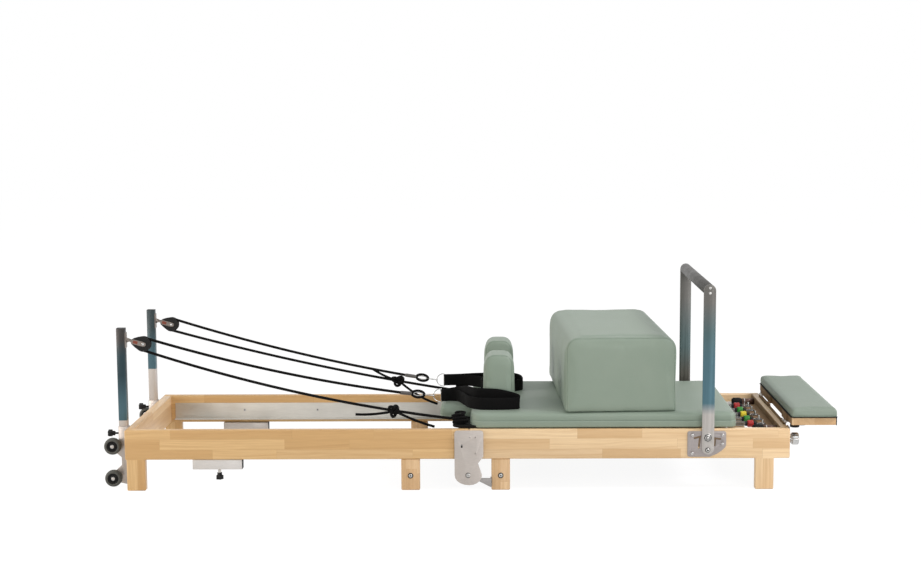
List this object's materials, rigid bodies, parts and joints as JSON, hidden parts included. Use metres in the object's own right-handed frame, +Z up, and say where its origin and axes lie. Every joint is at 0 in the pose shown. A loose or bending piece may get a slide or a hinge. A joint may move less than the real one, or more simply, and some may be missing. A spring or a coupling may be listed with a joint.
{
  "type": "folding pilates reformer",
  "caption": "Low wooden exercise frame that folds at its middle, with a sprung padded carriage on rollers, pulley ropes with straps, a swinging foot bar and a hinged platform.",
  "frame": {"origin": "on the floor under the fold's pins, half way across the widest pieces, which is also the middle of the overall box", "axes": "+X along the frame towards the foot bar and platform, +Y across towards the side with the overhanging end of the sitting box, +Z up"},
  "size_m": [2.6, 0.8108, 0.732],
  "materials": {
    "pale_hardwood": "clear varnish over finger-jointed blocks",
    "satin_steel": "warm light grey, satin",
    "chrome": "bright",
    "aluminium": "mill finish",
    "sage_vinyl": "grey-green upholstery vinyl, satin",
    "black_plastic": "matt",
    "grey_tyre": "matt",
    "black_webbing": "woven",
    "black_rope": "braided",
    "black_board": "matt",
    "red_grip": "moulded",
    "green_grip": "moulded",
    "yellow_grip": "moulded"
  },
  "bodies": {
    "foot_frame": {"foot_rail_near": "pale_hardwood", "foot_rail_far": "pale_hardwood", "foot_end_board": "pale_hardwood", "foot_mid_leg_frame": "pale_hardwood", "foot_track_near": "aluminium", "foot_track_far": "aluminium", "hinge_plate_outer_near": "satin_steel", "hinge_plate_outer_far": "satin_steel", "gate_plate_near": "satin_steel", "gate_plate_far": "satin_steel", "platform_bracket_near": "satin_steel", "platform_bracket_far": "satin_steel", "spring_1": "red_grip", "spring_2": "green_grip", "spring_3": "yellow_grip", "spring_4": "green_grip", "spring_5": "red_grip"},
    "head_frame": {"head_rail_near": "pale_hardwood", "head_rail_far": "pale_hardwood", "head_end_board": "pale_hardwood", "head_mid_leg_frame": "pale_hardwood", "head_track_near": "aluminium", "head_track_far": "aluminium", "hinge_plate_inner_near": "satin_steel", "hinge_plate_inner_far": "satin_steel", "wheel_bracket_near": "satin_steel", "wheel_bracket_far": "satin_steel", "storage_socket_near": "satin_steel", "storage_socket_far": "satin_steel", "rope_near": "black_rope", "rope_far": "black_rope"},
    "carriage": {"carriage_board": "black_board", "main_pad": "sage_vinyl", "shoulder_rest_near": "sage_vinyl", "shoulder_rest_far": "sage_vinyl", "strap_near": "black_webbing", "strap_far": "black_webbing"},
    "headrest": {"headrest": "sage_vinyl"},
    "sitting_box": {"sitting_box": "sage_vinyl"},
    "foot_bar": {"foot_bar_upright_near": "satin_steel", "foot_bar_upright_far": "satin_steel", "foot_bar_cross_tube": "satin_steel"},
    "platform": {"platform_board": "pale_hardwood", "platform_pad": "sage_vinyl"},
    "riser_near": {"riser_near": "satin_steel"},
    "riser_knob_near": {"riser_knob_near": "black_plastic"},
    "pulley_block_near": {"pulley_block_near": "chrome"},
    "sheave_near": {"sheave_near": "black_plastic"},
    "riser_far": {"riser_far": "satin_steel"},
    "riser_knob_far": {"riser_knob_far": "black_plastic"},
    "pulley_block_far": {"pulley_block_far": "chrome"},
    "sheave_far": {"sheave_far": "black_plastic"},
    "wheel_high_near": {"wheel_high_near": "grey_tyre"},
    "wheel_low_near": {"wheel_low_near": "grey_tyre"},
    "wheel_high_far": {"wheel_high_far": "grey_tyre"},
    "wheel_low_far": {"wheel_low_far": "grey_tyre"},
    "roller_head_near": {"roller_head_near": "black_plastic"},
    "roller_head_far": {"roller_head_far": "black_plastic"},
    "roller_foot_near": {"roller_foot_near": "black_plastic"},
    "roller_foot_far": {"roller_foot_far": "black_plastic"}
  },
  "joints": [
    {"name": "fold", "type": "hinge", "parent": "foot_frame", "child": "head_frame", "pos_m": [0, -0.04068, 0.055], "axis": [0, -1, 0], "range_deg": [0, 180], "deforming": ["strap_near", "strap_far", "rope_near", "rope_far"]},
    {"name": "carriage_slide", "type": "slide", "parent": "foot_frame", "child": "carriage", "axis": [-1, 0, 0], "range_m": [0, 0.9], "stiffness_N_per_m": 200, "springref_m": -0.1, "deforming": ["spring_1", "spring_2", "spring_3", "spring_4", "spring_5", "rope_near", "rope_far", "strap_near", "strap_far"]},
    {"name": "headrest_tilt", "type": "hinge", "parent": "carriage", "child": "headrest", "pos_m": [0.049, -0.04068, 0.2738], "axis": [0, 1, 0], "range_deg": [0, 25], "deforming": ["strap_near", "strap_far"]},
    {"name": "box_lift_off", "type": "slide", "parent": "carriage", "child": "sitting_box", "axis": [0, 0, 1], "range_m": [0, 0.25]},
    {"name": "foot_bar_swing", "type": "hinge", "parent": "foot_frame", "child": "foot_bar", "pos_m": [0.8426, -0.04068, 0.145], "axis": [0, 1, 0], "range_deg": [-12, 90]},
    {"name": "platform_fold", "type": "hinge", "parent": "foot_frame", "child": "platform", "pos_m": [1.129, -0.04068, 0.2265], "axis": [0, -1, 0], "range_deg": [0, 100]},
    {"name": "riser_near_height", "type": "slide", "parent": "head_frame", "child": "riser_near", "axis": [0, 0, 1], "range_m": [0, 0.06], "deforming": ["rope_near"]},
    {"name": "riser_knob_near_turn", "type": "hinge", "parent": "head_frame", "child": "riser_knob_near", "pos_m": [-1.2563, -0.29108, 0.1885], "axis": [-1, 0, 0], "continuous": true},
    {"name": "pulley_near_swivel", "type": "hinge", "parent": "riser_near", "child": "pulley_block_near", "pos_m": [-1.213, -0.29108, 0.526], "axis": [0, 1, 0], "range_deg": [-20, 20], "deforming": ["rope_near"]},
    {"name": "sheave_near_turn", "type": "hinge", "parent": "pulley_block_near", "child": "sheave_near", "pos_m": [-1.15987, -0.29108, 0.51177], "axis": [0, 1, 0], "continuous": true},
    {"name": "riser_far_height", "type": "slide", "parent": "head_frame", "child": "riser_far", "axis": [0, 0, 1], "range_m": [0, 0.06], "deforming": ["rope_far"]},
    {"name": "riser_knob_far_turn", "type": "hinge", "parent": "head_frame", "child": "riser_knob_far", "pos_m": [-1.2563, 0.20972, 0.1885], "axis": [-1, 0, 0], "continuous": true},
    {"name": "pulley_far_swivel", "type": "hinge", "parent": "riser_far", "child": "pulley_block_far", "pos_m": [-1.213, 0.20972, 0.526], "axis": [0, 1, 0], "range_deg": [-20, 20], "deforming": ["rope_far"]},
    {"name": "sheave_far_turn", "type": "hinge", "parent": "pulley_block_far", "child": "sheave_far", "pos_m": [-1.15987, 0.20972, 0.51177], "axis": [0, 1, 0], "continuous": true},
    {"name": "wheel_high_near_turn", "type": "hinge", "parent": "head_frame", "child": "wheel_high_near", "pos_m": [-1.273, -0.32488, 0.148], "axis": [0, 1, 0], "continuous": true},
    {"name": "wheel_low_near_turn", "type": "hinge", "parent": "head_frame", "child": "wheel_low_near", "pos_m": [-1.273, -0.32488, 0.0315], "axis": [0, 1, 0], "continuous": true},
    {"name": "wheel_high_far_turn", "type": "hinge", "parent": "head_frame", "child": "wheel_high_far", "pos_m": [-1.273, 0.24352, 0.148], "axis": [0, 1, 0], "continuous": true},
    {"name": "wheel_low_far_turn", "type": "hinge", "parent": "head_frame", "child": "wheel_low_far", "pos_m": [-1.273, 0.24352, 0.0315], "axis": [0, 1, 0], "continuous": true},
    {"name": "roller_head_near_turn", "type": "hinge", "parent": "carriage", "child": "roller_head_near", "pos_m": [0.039, -0.34788, 0.1533], "axis": [0, -1, 0], "range_deg": [0, 2169]},
    {"name": "roller_head_far_turn", "type": "hinge", "parent": "carriage", "child": "roller_head_far", "pos_m": [0.039, 0.26652, 0.1533], "axis": [0, -1, 0], "range_deg": [0, 2169]},
    {"name": "roller_foot_near_turn", "type": "hinge", "parent": "carriage", "child": "roller_foot_near", "pos_m": [0.869, -0.34788, 0.1533], "axis": [0, -1, 0], "range_deg": [0, 2169]},
    {"name": "roller_foot_far_turn", "type": "hinge", "parent": "carriage", "child": "roller_foot_far", "pos_m": [0.869, 0.26652, 0.1533], "axis": [0, -1, 0], "range_deg": [0, 2169]}
  ],
  "couplings": [
    {"joint": "roller_head_near_turn", "follows": "carriage_slide", "rad_per_m": 41.667},
    {"joint": "roller_head_far_turn", "follows": "carriage_slide", "rad_per_m": 41.667},
    {"joint": "roller_foot_near_turn", "follows": "carriage_slide", "rad_per_m": 41.667},
    {"joint": "roller_foot_far_turn", "follows": "carriage_slide", "rad_per_m": 41.667}
  ]
}
